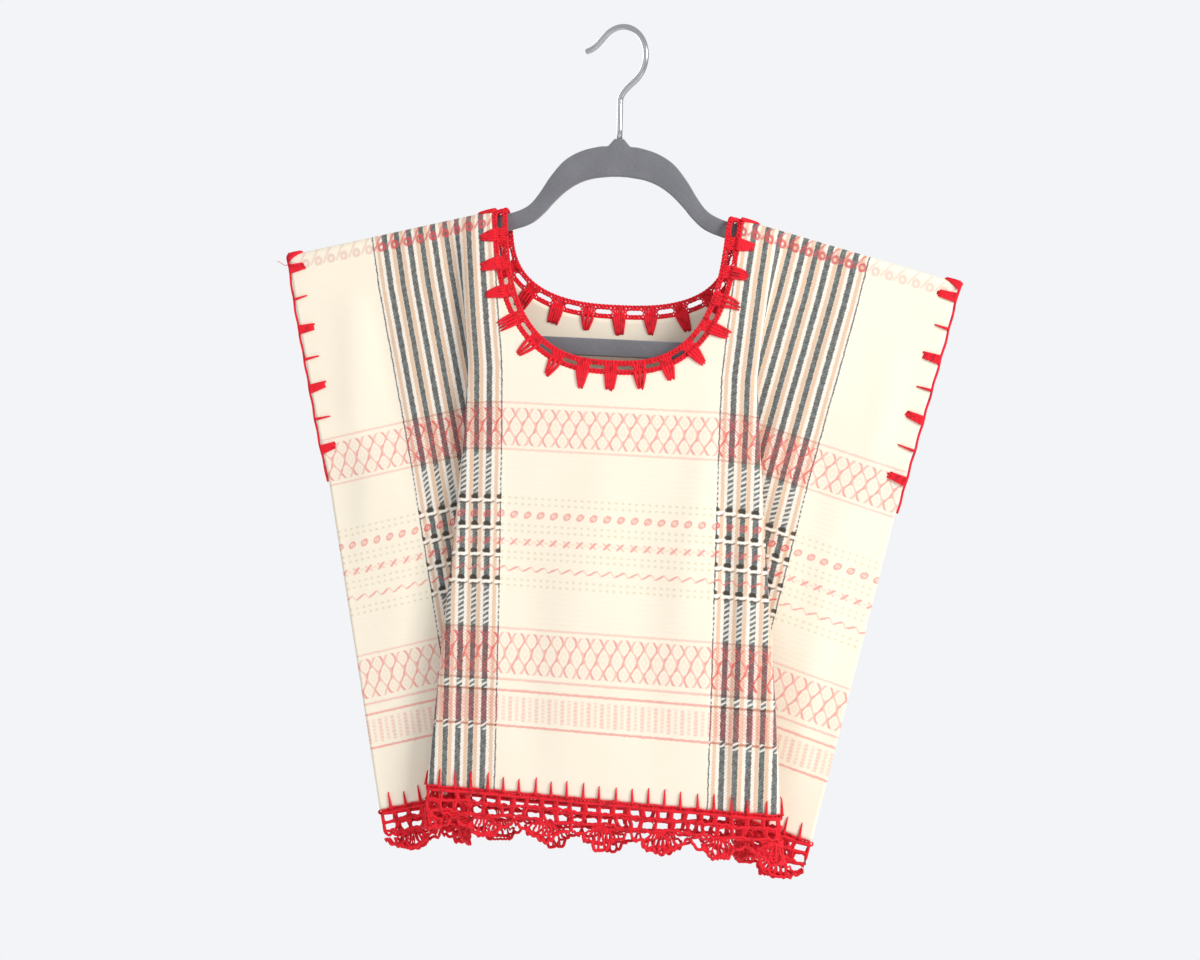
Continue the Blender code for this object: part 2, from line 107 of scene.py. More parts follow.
def cloth_row(v, half, us):
    """One weft of half a panel: x, depth lost in the side fold, height lost, at each u."""
    at = [r[0] for r in SECTIONS]
    row = {n: float(np.interp(v, at, [r[i] for r in SECTIONS])) for i, n in enumerate(SECTION_COLUMNS)}
    row["edge"] += EDGE_AT_HEM[half] * v / FRONT_DROP
    u = np.linspace(NECK_HALF, CLOTH_HALF, 160)

    def walk(strength):
        angle = FOLD_ANGLE[half] * min(strength, 1.0)
        end = row["fold"] + 2 * row["arc"] + FOLD_FLAT * max(strength - 1.0, 0.0)
        turn = angle * (np.clip((u - row["fold"]) / row["arc"], 0, 1)
                        - np.clip((u - end + row["arc"]) / row["arc"], 0, 1))
        weft = np.radians(row["weft_in"] + (row["weft_out"] - row["weft_in"])
                          * ease((u - row["fold"]) / (end - row["fold"])))
        steps = (np.cos(turn) * np.cos(weft), np.sin(turn) * np.cos(weft), np.sin(weft))
        return [np.concatenate(([0.0], np.cumsum((s[1:] + s[:-1]) * (u[1] - u[0]) / 2))) for s in steps]

    low, high = 0.0, 5.0
    for _ in range(26):
        mid = (low + high) / 2
        if row["pivot"] + walk(mid)[0][-1] > row["edge"]:
            low = mid
        else:
            high = mid
    x, p, z = walk(low)
    reach = np.abs(us)
    outer = np.maximum(reach, NECK_HALF)
    across = np.where(reach < NECK_HALF, row["pivot"] * reach / NECK_HALF,
                      row["pivot"] + np.interp(outer, u, x) + np.maximum(reach - CLOTH_HALF, 0))
    return across, np.interp(outer, u, p), np.interp(outer, u, z), float(p[-1]), row["side"]


class Drape:
    """The hanging surface of one panel, sampled once and read anywhere."""

    def __init__(self, side):
        self.side = side
        self.us = np.arange(-245.0, 245.1, 1.25)
        self.vs = np.concatenate((np.arange(0, 8, 0.5), np.arange(8, 462, 3.0)))
        left, right = self.us < 0, self.us >= 0
        reach = np.abs(self.us)
        rows = []
        for v in self.vs:
            a = cloth_row(v, -1, self.us)
            b = cloth_row(v, 1, self.us)
            x, lost, fall = [np.where(left, a[i], b[i]) for i in range(3)]
            share = 0.5 + 0.5 * np.clip(self.us / NECK_HALF, -1, 1)
            depth = a[3] * (1 - share) + b[3] * share
            on = min(v / LAP, 1.0)
            if v < LAP:
                stand = SHOULDER_R * math.sin(v / SHOULDER_R)
                drop = SHOULDER_R * (1 - math.cos(v / SHOULDER_R))
            else:
                stand = SHOULDER_R + (a[4] - SHOULDER_R) * float(ease((v - LAP) / STAND_OVER))
                drop = v - LAP + SHOULDER_R
            inside = np.maximum(NECK_HALF - reach, 0)
            rise = NECK_REACH * (1 - np.exp(-inside / NECK_REACH)) * math.tan(math.radians(SHOULDER_SLOPE))
            rise = rise * (1 - float(ease(v / RISE_OVER)))
            p = stand + (depth - lost) * on
            if v > LAP:
                shut = float(ease((v - EDGE_SHUTS_V[0]) / (EDGE_SHUTS_V[1] - EDGE_SHUTS_V[0])))
                gap = EDGE_OPEN_P + (SEAM_P - EDGE_OPEN_P) * shut
                near_edge = ease((reach - CLOTH_HALF + EDGE_REACH) / EDGE_REACH)
                p = p + (gap - stand) * near_edge * float(ease((v - LAP) / EDGE_START))
            z = SHOULDER_Z - drop - fall * (reach > NECK_HALF) + rise
            rows.append(np.stack((np.sign(self.us) * x, side * p, z), -1))
        self.points = np.array(rows)
        self.measure()
        U, V = np.meshgrid(self.us, self.vs)
        lift = np.zeros_like(U)
        for row in CREASES:
            c = dict(zip(CREASE_COLUMNS, row))
            if c["side"] != side:
                continue
            turn = math.radians(c["turn"])
            du, dv = U - c["u"], V - c["v"]
            along = dv * math.cos(turn) + du * math.sin(turn)
            cross = du * math.cos(turn) - dv * math.sin(turn) + 3.0 * np.sin(along / 34.0)
            profile = np.exp(-(cross / c["width"]) ** 2) * np.exp(-(along / (0.5 * c["length"])) ** 4)
            lift += c["height"] * profile
        keep = ease((CLOTH_HALF - np.abs(U)) / 30.0) * ease((V - 12) / 40.0)
        keep = keep * ease((FRONT_DROP + 60 - V) / 40.0)
        self.points += self.normals * (lift * keep)[..., None]
        self.measure()

    def measure(self):
        across = np.gradient(self.points, self.us, axis=1)
        down = np.gradient(self.points, self.vs, axis=0)
        out = np.cross(across, down) * self.side
        self.normals = out / np.linalg.norm(out, axis=-1, keepdims=True)

    def at(self, u, v, w=0.0):
        """Points in the garment's own frame, w out of the cloth, for arrays of u and v."""
        u, v, w = np.broadcast_arrays(np.asarray(u, float), np.asarray(v, float), np.asarray(w, float))
        v = np.clip(v, 0.05, self.vs[-1] - 0.01)
        j = np.clip(np.searchsorted(self.us, u, "right") - 1, 0, len(self.us) - 2)
        i = np.clip(np.searchsorted(self.vs, v, "right") - 1, 0, len(self.vs) - 2)
        a = ((u - self.us[j]) / (self.us[j + 1] - self.us[j]))[..., None]
        b = ((v - self.vs[i]) / (self.vs[i + 1] - self.vs[i]))[..., None]
        both = []
        for g in (self.points, self.normals):
            upper = g[i, j] * (1 - a) + g[i, j + 1] * a
            both.append(upper * (1 - b) + (g[i + 1, j] * (1 - a) + g[i + 1, j + 1] * a) * b)
        n = both[1] / np.linalg.norm(both[1], axis=-1, keepdims=True)
        return both[0] + n * w[..., None], n


def placed(points):
    """Own frame in millimetres to the shared frame in metres, with the tilt and lean it hangs at."""
    p = np.asarray(points, float)
    x, y, z = p[..., 0], p[..., 1], p[..., 2]
    return np.stack((x + math.sin(LEAN) * z, y, z - math.sin(TILT) * x), -1) * MM


def neck_v(u, side):
    share = np.minimum(np.abs(u) / NECK_HALF, 1.0)
    return NECK_STRAIGHT + (NECK_DEPTH[side] - NECK_STRAIGHT) * (1 - share ** NECK_POWER) ** (1 / NECK_POWER)


def hem_v(u, side):
    dip = BACK_DIP * (1 - (np.asarray(u) / CLOTH_HALF) ** 2) if side == BACK else 0.0 * np.asarray(u)
    return FRONT_DROP + dip


def new_object(name, verts, faces, mats, uvs=None, smooth=True):
    mesh = bpy.data.meshes.new(name)
    mesh.from_pydata([tuple(p) for p in verts], [], faces)
    if uvs is not None:
        layer = mesh.uv_layers.new(name="weave")
        index = np.zeros(len(mesh.loops), np.int32)
        mesh.loops.foreach_get("vertex_index", index)
        layer.data.foreach_set("uv", np.asarray(uvs, np.float32)[index].ravel())
    if smooth:
        mesh.polygons.foreach_set("use_smooth", [True] * len(mesh.polygons))
    for m in mats:
        mesh.materials.append(m)
    obj = bpy.data.objects.new(name, mesh)
    bpy.context.scene.collection.objects.link(obj)
    return obj


class Sock:
    """A shader socket that takes part in Python expressions."""

    def __init__(self, tree, socket):
        self.tree, self.socket = tree, socket

    def maths(self, operation, *values):
        made = node(self.tree, "ShaderNodeMath", {"operation": operation}, dict(enumerate(values)))
        return Sock(self.tree, made.outputs[0])

    def __add__(self, o):
        return self.maths("ADD", self, o)

    def __sub__(self, o):
        return self.maths("SUBTRACT", self, o)

    def __rsub__(self, o):
        return self.maths("SUBTRACT", o, self)

    def __mul__(self, o):
        return self.maths("MULTIPLY", self, o)

    def __truediv__(self, o):
        return self.maths("DIVIDE", self, o)

    __radd__, __rmul__ = __add__, __mul__

    def abs(self):
        return self.maths("ABSOLUTE", self)

    def sin(self):
        return self.maths("SINE", self)

    def root(self):
        return self.maths("SQRT", self)

    def least(self, o):
        return self.maths("MINIMUM", self, o)

    def most(self, o):
        return self.maths("MAXIMUM", self, o)

    def off(self, pitch, start=0.0):
        """Signed distance to the nearest of a row of lines at that pitch."""
        t = (self - start) / pitch
        return (t - self.maths("ROUND", t)) * pitch

    def soft(self, low, high):
        """0 below low, 1 above high, eased between."""
        made = node(self.tree, "ShaderNodeMapRange", {"interpolation_type": "SMOOTHSTEP"},
                    {"Value": self, "From Min": low, "From Max": high})
        return Sock(self.tree, made.outputs[0])

    def line(self, width, blur=0.25):
        """1 within half a width of zero, with a soft edge."""
        return 1.0 - self.abs().soft(width / 2 - blur, width / 2 + blur)

    def between(self, low, high, blur=0.2):
        return self.soft(low - blur, low + blur) * (1.0 - self.soft(high - blur, high + blur))


def node(tree, kind, settings=None, sockets=None):
    """Any node: its settings first, then the values or links of its sockets."""
    made = tree.nodes.new(kind)
    for key, value in (settings or {}).items():
        setattr(made, key, value)
    for key, value in (sockets or {}).items():
        if isinstance(value, Sock):
            tree.links.new(value.socket, made.inputs[key])
        elif isinstance(value, bpy.types.NodeSocket):
            tree.links.new(value, made.inputs[key])
        elif value is not None:
            made.inputs[key].default_value = value
    return made


def mix(tree, factor, a, b):
    """A colour between two colours, each a socket or three numbers."""
    pick = [(*c, 1.0) if isinstance(c, tuple) else c for c in (a, b)]
    made = node(tree, "ShaderNodeMix", {"data_type": "RGBA"}, {0: factor, 6: pick[0], 7: pick[1]})
    return Sock(tree, made.outputs[2])


def finish_of(name, roughness, metallic=0.0, sheen=0.0):
    mat = bpy.data.materials.new(name)
    mat.use_nodes = True
    shader = mat.node_tree.nodes["Principled BSDF"]
    shader.inputs["Roughness"].default_value = roughness
    shader.inputs["Metallic"].default_value = metallic
    shader.inputs["Sheen Weight"].default_value = sheen
    return mat, mat.node_tree, shader


def rgb(r, g, b):
    """Screen colour to scene colour."""
    return tuple(((c / 255 + 0.055) / 1.055) ** 2.4 if c > 10 else c / 255 / 12.92 for c in (r, g, b))


def noise_2d(tree, vector, scale, detail):
    return node(tree, "ShaderNodeTexNoise", {"noise_dimensions": "2D"},
                {"Vector": vector, "Scale": scale, "Detail": detail})


def noise_3d(tree, vector, scale, detail):
    return node(tree, "ShaderNodeTexNoise", None, {"Vector": vector, "Scale": scale, "Detail": detail})


def finish_with(tree, shader, colour, strength, distance, height):
    """The colour and the bump of a finish, linked to its shader."""
    bump = node(tree, "ShaderNodeBump", None, {"Strength": strength, "Distance": distance, "Height": height})
    tree.links.new(colour.socket, shader.inputs["Base Color"])
    tree.links.new(bump.outputs[0], shader.inputs["Normal"])


# Charted weave, in millimetres of cloth: u across, v down.
PITCH = 9.6
STRIPE_OUT, STRIPE_STEP, STRIPE_STEPS = 168.0, 9.1, 10.0
CREAM, PEACH, WHITE = rgb(251, 242, 223), rgb(229, 190, 157), rgb(252, 247, 238)
DARK, DARK_LIGHT = rgb(30, 36, 44), rgb(112, 128, 132)
PINK, PINK_PALE, OLIVE = rgb(228, 84, 84), rgb(240, 162, 154), rgb(196, 190, 138)
CHART_SHIFT = 1.2
LINE_COLUMNS = ("v", "width", "strength")
LINES_AT = (
    (139.3, 1.4, 0.5),
    (172.2, 1.4, 0.5),
    (298.0, 1.4, 0.5),
    (334.0, 1.7, 0.6),
    (341.7, 1.7, 0.9),
    (366.5, 1.6, 0.95),
)
LATTICES = ((156.2, 13.8), (315.6, 14.9))
RED_BANDS = ((139.0, 172.5), (298.0, 334.0), (341.7, 366.5))
WHITE_BANDS = ((176.0, 203.0, 1.5), (270.2, 296.0, 1.5), (335.0, 341.0, 0.2), (364.6, 370.5, 0.2))
RING_V, CROSS_V, WAVE_V, SCROLL_V = 217.9, 237.0, 256.1, 10.4
RING_R, CROSS_TALL, WAVE_TALL = 2.0, 4.8, 3.8
DOT_ROWS, DOT_STEP, DOT_FIRST, DOT_PITCH = (203.5, 270.2), 19.1, 208.3, 4.8
DASHES, DASH_STEP, DASH_FIRST = (345.6, 362.9), 2.6, 347.0
TWILL_STEP, SLANT_STEP, THREAD_STEP = 2.3, 3.6, 0.9
HAND_DRIFT = 1.1


def woven_cotton(name):
    mat, tree, shader = finish_of(name, 0.92, sheen=0.1)
    uv = node(tree, "ShaderNodeUVMap", {"uv_map": "weave"})
    hand = noise_2d(tree, uv.outputs[0], 330.0, 2.0)
    drift = [Sock(tree, out) for out in node(tree, "ShaderNodeSeparateColor", None, {0: hand.outputs[1]}).outputs]
    apart = node(tree, "ShaderNodeSeparateXYZ", None, {0: uv.outputs[0]})
    U = Sock(tree, apart.outputs[0]) * 1000.0 + (drift[0] - 0.5) * HAND_DRIFT
    V = Sock(tree, apart.outputs[1]) * 1000.0 + (drift[1] - 0.5) * HAND_DRIFT
    A, Y = U.abs(), V + CHART_SHIFT
    # warp stripes
    step = (STRIPE_OUT - A) / STRIPE_STEP
    inside = step.between(-0.03, STRIPE_STEPS + 0.03, 0.03)
    rim = 1.0 - step.between(0.5, STRIPE_STEPS - 0.5, 0.02)
    even = (STRIPE_OUT - A).off(2 * STRIPE_STEP).abs()
    broad, slim = (1.0 - even.soft(1.5, 2.3)) * (1.0 - rim), (1.0 - even.soft(0.3, 1.1)) * rim
    dark = (broad + slim).most(even.soft(6.7, 7.5)) * inside
    peach = even.between(2.2, 4.8, 0.5) * inside
    twill = (U * 0.9 + V).off(TWILL_STEP).line(0.9, 0.4)
    base = mix(tree, inside, CREAM, WHITE)
    base = mix(tree, peach * 0.85, base, PEACH)
    base = mix(tree, twill * inside * (1.0 - dark) * 0.34, base, rgb(206, 166, 134))
    worn = mix(tree, twill * 0.45 + drift[2].soft(0.42, 0.58) * 0.4, DARK, DARK_LIGHT)
    base = mix(tree, dark * 0.95, base, worn)

    def oval(x, y, wide, tall):
        return ((x / wide) * (x / wide) + (y / tall) * (y / tall)).root()

    def lozenge(x, y, wide, tall):
        across, down = (x / wide).abs(), (y / tall).abs()
        return oval(x, y, wide, tall) * 0.45 + (across + down) * 0.5

    def lattice(middle, half):
        """Three rows of ovals with a strand round each, bolder where it climbs to the right."""
        y = Y - middle
        x, x_half = U.off(PITCH), U.off(PITCH, PITCH / 2)
        nearest = lozenge(x, y, 4.0, half * 0.5)
        for way in (-1, 1):
            nearest = nearest.least(lozenge(x_half, y - way * half * 0.62, 3.7, half * 0.37))
        strand = nearest.between(0.96, 1.4, 0.1) * y.between(-half + 0.6, half - 0.6, 0.6)
        climb = (x * y * 0.4).soft(-2.0, 2.0)
        dots = (1.0 - (nearest - 0.42).abs().soft(0.1, 0.24)) * 0.14
        return (strand * (climb * 0.35 + 0.65)).most(dots * y.between(-half, half))

    def any_of(ranges):
        """1 inside any of some ranges of rows."""
        found = Y.between(*ranges[0])
        for each in ranges[1:]:
            found = found.most(Y.between(*each))
        return found

    pink = lattice(*LATTICES[0]).most(lattice(*LATTICES[1]))
    lines = 0.0 * Y
    for row in LINES_AT:
        c = dict(zip(LINE_COLUMNS, row))
        lines = lines.most((Y - c["v"]).line(c["width"], 0.45) * c["strength"])
    x = U.off(PITCH)
    # tilted rings, crosses with a bold stroke, and a wave that climbs steeply
    ring_y = Y - RING_V
    stroke = (x + ring_y * 0.75).line(1.3, 0.4) * ring_y.abs().line(3.6, 0.5) * 0.8
    ring = (oval(x + ring_y * 0.35, ring_y, 1.0, 1.0) - RING_R).line(1.3, 0.45).most(stroke)
    cross_y = Y - CROSS_V
    cross = (x + cross_y).line(2.4, 0.6).most((x - cross_y).line(1.8, 0.6) * 0.6)
    cross = cross * cross_y.abs().line(CROSS_TALL, 0.6) * x.abs().line(5.8, 0.6)
    link = cross_y.abs().line(1.4, 0.5) * x.abs().soft(2.6, 3.2) * 0.25
    wave_y, x_half = Y - WAVE_V, U.off(PITCH, PITCH / 2)
    climb, back = (x + wave_y * 1.7).line(2.4, 0.8), (x_half - wave_y * 0.9).line(1.2, 0.5)
    wave = climb.most(back * 0.5) * wave_y.line(WAVE_TALL, 0.5)
    motifs = ring.most(cross).most(link).most(wave)
    # columns of short strokes, strong and weak by turns
    strong = Y.off(DASH_STEP, DASH_FIRST).line(1.2, 0.4)
    weak = Y.off(DASH_STEP, DASH_FIRST + DASH_STEP / 2).line(1.2, 0.4)
    dash = x.line(2.6, 0.7) * (0.55 + strong * 0.45)
    dash = dash.most(x_half.line(2.4, 0.7) * (0.3 + weak * 0.4))
    pink = pink.most(motifs).most(dash * 0.6 * Y.between(*DASHES, 0.5)).most(lines * (1.0 - inside))
    # scrolls under the shoulder fold
    low = V - SCROLL_V
    curl = oval(x - 1.5, low - 0.4, 1.0, 1.15)
    rise = (x + low * 0.62 + 3.0).line(1.8, 0.6) * low.between(-8.5, 2.6)
    scroll = (curl - 2.0).line(2.0, 0.7).most(rise * 0.8) * V.between(2.0, 14.0, 0.5)
    on_stripe = 1.0 - dark * 0.4
    base = mix(tree, pink * on_stripe * (0.94 - inside * 0.04), base, mix(tree, inside, PINK_PALE, PINK))
    rose = mix(tree, inside, rgb(224, 168, 166), rgb(206, 62, 72))
    base = mix(tree, scroll * (0.5 + inside * 0.35), base, rose)
    # red weft between the warp of the stripes, and its lines at the edges of the bands
    ply = (U * 0.7 - V).off(TWILL_STEP).line(1.1, 0.4)
    weft = mix(tree, dark, rgb(224, 104, 98), rgb(142, 32, 48))
    edge = mix(tree, dark, rgb(186, 104, 78), rgb(44, 14, 18))
    base = mix(tree, any_of(RED_BANDS) * inside * ply * (0.3 + dark * 0.45), base, weft)
    base = mix(tree, lines * inside * 0.85, base, edge)
    # double rows of dots, and the twisted threads they become on the stripes, each twist with a painted shadow below
    # it
    row_y, dotted = Y.off(DOT_STEP, DOT_FIRST), Y.between(*DOT_ROWS)
    rows = (row_y.abs() - 2.1).line(1.5, 0.5) * dotted
    dots = U.off(DOT_PITCH, 1.2).line(1.9, 0.6) * rows * (1.0 - inside)
    base = mix(tree, dots * 0.42, base, OLIVE)
    zone = dotted * inside
    side = (STRIPE_OUT - A).off(STRIPE_STEP) * (1.0 - U.soft(-0.1, 0.1) * 2.0)
    black = (1.0 - oval(side + 0.6, row_y + 2.2, 2.9, 2.0).soft(0.75, 1.15)) * zone
    sway = row_y + side * 0.26 - (side * 0.69).sin() * 0.5
    twist = (sway - 0.3).line(2.0, 0.5) * side.between(-3.4, 4.4, 0.4) * zone
    # The brown line just below each raised white twist is a painted shadow of the twist, not a thread colour.
    twist_shadow = (sway - 2.1).line(1.2, 0.5) * side.between(-3.0, 4.4, 0.4) * zone
    base = mix(tree, black * 0.95, base, rgb(20, 17, 17))
    base = mix(tree, twist_shadow * 0.8, base, rgb(74, 56, 48))
    base = mix(tree, twist, base, rgb(255, 249, 238))
    # slanted white weft over the dark stripes between the bands
    zones = any_of(WHITE_BANDS)
    slant = (Y + U * 0.62).off(SLANT_STEP).line(1.5, 0.6)
    base = mix(tree, slant * zones * dark * 0.85, base, WHITE)
    ribs = (Y * (2 * math.pi / SLANT_STEP)).sin() * zones
    specks = U.off(DOT_PITCH).line(1.8, 0.5) * (V - 1.6).line(1.6, 0.5) * (1.0 - inside)
    base = mix(tree, specks * 0.4, base, OLIVE)
    # slub and shade of hand-spun yarn
    spot = Sock(tree, noise_2d(tree, uv.outputs[0], 24.0, 3.0).outputs[0])
    slub = node(tree, "ShaderNodeMapping", None, {"Vector": uv.outputs[0], "Scale": Vector((60.0, 900.0, 1.0))})
    fleck = Sock(tree, noise_2d(tree, slub.outputs[0], 1.0, 2.0).outputs[0])
    base = mix(tree, spot * 0.05 + fleck * 0.07, base, rgb(224, 204, 168))
    weave = (U * (2 * math.pi / THREAD_STEP)).sin() * (V * (2 * math.pi / THREAD_STEP)).sin()
    height = weave * 0.05 + ribs * 0.08 + pink * 0.10 + twill * dark * 0.12 + twist * 0.5 + fleck * 0.12
    finish_with(tree, shader, base, 0.5, 0.0008, height)
    return mat


drapes = {side: Drape(side) for side in (FRONT, BACK)}


def cloth_panel(name, side, mat):
    """A thin closed shell over the drape, its rows following the neckline and the hem."""
    drape = drapes[side]
    inner = NECK_HALF * np.sin(np.linspace(0, math.pi / 2, 34)) ** 0.9
    outer = (np.arange(NECK_HALF + 2, 168, 2.1), np.linspace(168, 222, 20), (226.0, 229.0, CLOTH_HALF))
    right = np.concatenate((inner, *outer))
    us = np.concatenate((-right[:0:-1], right))
    v_top = np.concatenate(([0.06], np.arange(1, 8), np.arange(10, NECK_STRAIGHT, 3.4)))
    vs = np.concatenate((v_top, np.linspace(NECK_STRAIGHT, FRONT_DROP, 112)))
    share = (vs - NECK_STRAIGHT) / (FRONT_DROP - NECK_STRAIGHT)
    share = share[:, None]
    U = np.tile(us, (len(vs), 1))
    hole = np.abs(us) < NECK_HALF - 0.001
    top = np.where(hole, neck_v(us, side), NECK_STRAIGHT)
    V = np.where(share >= 0, top + (hem_v(us, side) - top) * np.maximum(share, 0), vs[:, None])
    rows, cols = U.shape
    cell = np.ones((rows - 1, cols - 1), bool)
    cell[:len(v_top), :] = ~(hole[:-1] | hole[1:])
    outer_p, _ = drape.at(U, V, CLOTH_T / 2)
    inner_p, _ = drape.at(U, V, -CLOTH_T / 2)
    verts = np.concatenate((placed(outer_p).reshape(-1, 3), placed(inner_p).reshape(-1, 3)))
    uvs = np.stack((U.ravel(), V.ravel()), -1) * MM
    uvs = np.concatenate((uvs, uvs))
    count = rows * cols
    flip = side == BACK
    faces = []
    for i in range(rows - 1):
        for j in range(cols - 1):
            if not cell[i, j]:
                continue
            a, b, c, d = i * cols + j, i * cols + j + 1, (i + 1) * cols + j + 1, (i + 1) * cols + j
            up, low = (a, d, c, b), (a + count, b + count, c + count, d + count)
            faces.append(up[::-1] if flip else up)
            faces.append(low[::-1] if flip else low)
            neighbours = ((i - 1, j, a, b), (i, j + 1, b, c), (i + 1, j, c, d), (i, j - 1, d, a))
            for row, col, m, n in neighbours:
                if not (0 <= row < rows - 1 and 0 <= col < cols - 1 and cell[row, col]):
                    wall = (m, n, n + count, m + count)
                    faces.append(wall[::-1] if flip else wall)
    used = np.zeros(2 * count, bool)
    used[[k for f in faces for k in f]] = True
    renumber = np.cumsum(used) - 1
    faces = [tuple(int(renumber[k]) for k in f) for f in faces]
    return new_object(name, verts[used], faces, [mat], uvs[used])


cotton = woven_cotton("woven cotton")
front_cloth = cloth_panel("front_cloth", FRONT, cotton)
back_cloth = cloth_panel("back_cloth", BACK, cotton)
for cloth, cad in ((front_cloth, "front_panel"), (back_cloth, "back_panel")):
    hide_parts(cad)
    "cotton_front" if cad == "front_panel" else "cotton_back"
    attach(cloth, "root")

# The crochet: red mercerised cotton, worked round the neck edge and along the hem. Chains run
# along it, posts and blocks stand between them, and fans hang from the hem. Each thread
# follows a line on the cloth, and a tree of nodes gives it its round twisted body.
THREAD_R, THREAD_SIDES = 0.75, 6
CHAIN_LONG, CHAIN_WIDE, CHAIN_R, CHAIN_SIDES = 4.4, 3.0, 0.62, 5
CHAIN_STEP, CHAIN_TILT = 0.62, math.radians(14.0)
BAND_CELLS = {FRONT: 16, BACK: 12}
TAB_LONG, TAB_LIFT = 10.0, 1.15
EYELET_LONG, EYELET_DEEP = 6.2, 2.8
LACE_FANS, FAN_CELLS = 11, 4
LACE_CHAINS, LACE_DEEP = (1.3, 9.8, 17.9), 20.2
FAN_SPOKES = 7
RED, RED_DEEP = rgb(242, 12, 40), rgb(186, 4, 26)


def red_thread(name):
    mat, tree, shader = finish_of(name, 0.7)
    at = node(tree, "ShaderNodeTexCoord")
    lumps = Sock(tree, noise_3d(tree, at.outputs["Object"], 260.0, 3.0).outputs[0])
    colour = mix(tree, lumps.soft(0.28, 0.5), RED_DEEP, RED)
    ply = node(tree, "ShaderNodeTexWave", {"wave_type": "BANDS", "bands_direction": "DIAGONAL"},
               {"Vector": at.outputs["Object"], "Scale": 420.0, "Distortion": 2.0, "Detail": 1.0})
    finish_with(tree, shader, colour, 0.6, 0.0006, Sock(tree, ply.outputs[1]) * 0.6 + lumps)
    return mat


def group(name, sizes):
    """A geometry tree with named inputs for its sizes: the tree, its input, its output, the ids."""
    tree = bpy.data.node_groups.new(name, "GeometryNodeTree")
    tree.interface.new_socket("Geometry", in_out="INPUT", socket_type="NodeSocketGeometry")
    ids = {}
    for label in sizes:
        size = tree.interface.new_socket(label, in_out="INPUT", socket_type="NodeSocketFloat")
        ids[label] = size.identifier
    tree.interface.new_socket("Geometry", in_out="OUTPUT", socket_type="NodeSocketGeometry")
    return tree, tree.nodes.new("NodeGroupInput"), tree.nodes.new("NodeGroupOutput"), ids


def finished(tree, geometry, mat, result):
    """The made geometry, smooth and real, in its material."""
    smooth = node(tree, "GeometryNodeSetShadeSmooth", None, {0: geometry})
    real = node(tree, "GeometryNodeRealizeInstances", None, {0: smooth.outputs[0]})
    painted = node(tree, "GeometryNodeSetMaterial", None, {"Geometry": real.outputs[0], "Material": mat})
    tree.links.new(painted.outputs[0], result.inputs[0])


def thread_tree(mat):
    """Lines become round threads whose thickness is the points' own width."""
    tree, given, result, ids = group("round thread", ("Thread radius",))
    curve = node(tree, "GeometryNodeMeshToCurve", None, {0: given.outputs["Geometry"]})
    width = node(tree, "GeometryNodeInputNamedAttribute", {"data_type": "FLOAT"}, {"Name": "width"})
    radius = node(tree, "ShaderNodeMath", {"operation": "MULTIPLY"},
                  {0: width.outputs[0], 1: given.outputs["Thread radius"]})
    sized = node(tree, "GeometryNodeSetCurveRadius", None, {"Curve": curve.outputs[0], "Radius": radius.outputs[0]})
    ring = node(tree, "GeometryNodeCurvePrimitiveCircle", None, {"Resolution": THREAD_SIDES, "Radius": 1.0})
    tube = node(tree, "GeometryNodeCurveToMesh", None,
                {"Curve": sized.outputs[0], "Profile Curve": ring.outputs[0], "Scale": radius.outputs[0],
                 "Fill Caps": True})
    finished(tree, tube.outputs[0], mat, result)
    return tree, ids


def chain_tree(mat):
    """Chain stitches: a slanted loop at even steps along each line, lying on the cloth."""
    tree, given, result, ids = group("chain stitches", ("Stitch long", "Stitch wide", "Thread radius"))
    long, wide, radius = [given.outputs[label] for label in ("Stitch long", "Stitch wide", "Thread radius")]
    curve = node(tree, "GeometryNodeMeshToCurve", None, {0: given.outputs["Geometry"]})
    step = node(tree, "ShaderNodeMath", {"operation": "MULTIPLY"}, {0: long, 1: CHAIN_STEP})
    points = node(tree, "GeometryNodeResampleCurve", {"mode": "LENGTH"},
                  {"Curve": curve.outputs[0], "Length": step.outputs[0]})
    loop = node(tree, "GeometryNodeCurvePrimitiveCircle", None, {"Resolution": 10, "Radius": 0.5})
    shape = node(tree, "ShaderNodeCombineXYZ", None, {0: long, 1: wide, 2: 1.0})
    oval = node(tree, "GeometryNodeTransform", None,
                {"Geometry": loop.outputs[0], "Scale": shape.outputs[0], "Rotation": (0.0, CHAIN_TILT, 0.0)})
    ring = node(tree, "GeometryNodeCurvePrimitiveCircle", None, {"Resolution": CHAIN_SIDES, "Radius": radius})
    link = node(tree, "GeometryNodeCurveToMesh", None, {"Curve": oval.outputs[0], "Profile Curve": ring.outputs[0]})
    out = node(tree, "GeometryNodeInputNamedAttribute", {"data_type": "FLOAT_VECTOR"}, {"Name": "out"})
    along = node(tree, "GeometryNodeInputTangent")
    turn = node(tree, "FunctionNodeAlignRotationToVector", {"axis": "Z"}, {"Vector": out.outputs[0]})
    turned = node(tree, "FunctionNodeAlignRotationToVector", {"axis": "X", "pivot_axis": "Z"},
                  {"Rotation": turn.outputs[0], "Vector": along.outputs[0]})
    many = node(tree, "GeometryNodeInstanceOnPoints", None,
                {"Points": points.outputs[0], "Instance": link.outputs[0], "Rotation": turned.outputs[0]})
    finished(tree, many.outputs[0], mat, result)
    return tree, ids


red = red_thread("red crochet cotton")
THREAD, THREAD_IDS = thread_tree(red)
CHAIN, CHAIN_IDS = chain_tree(red)


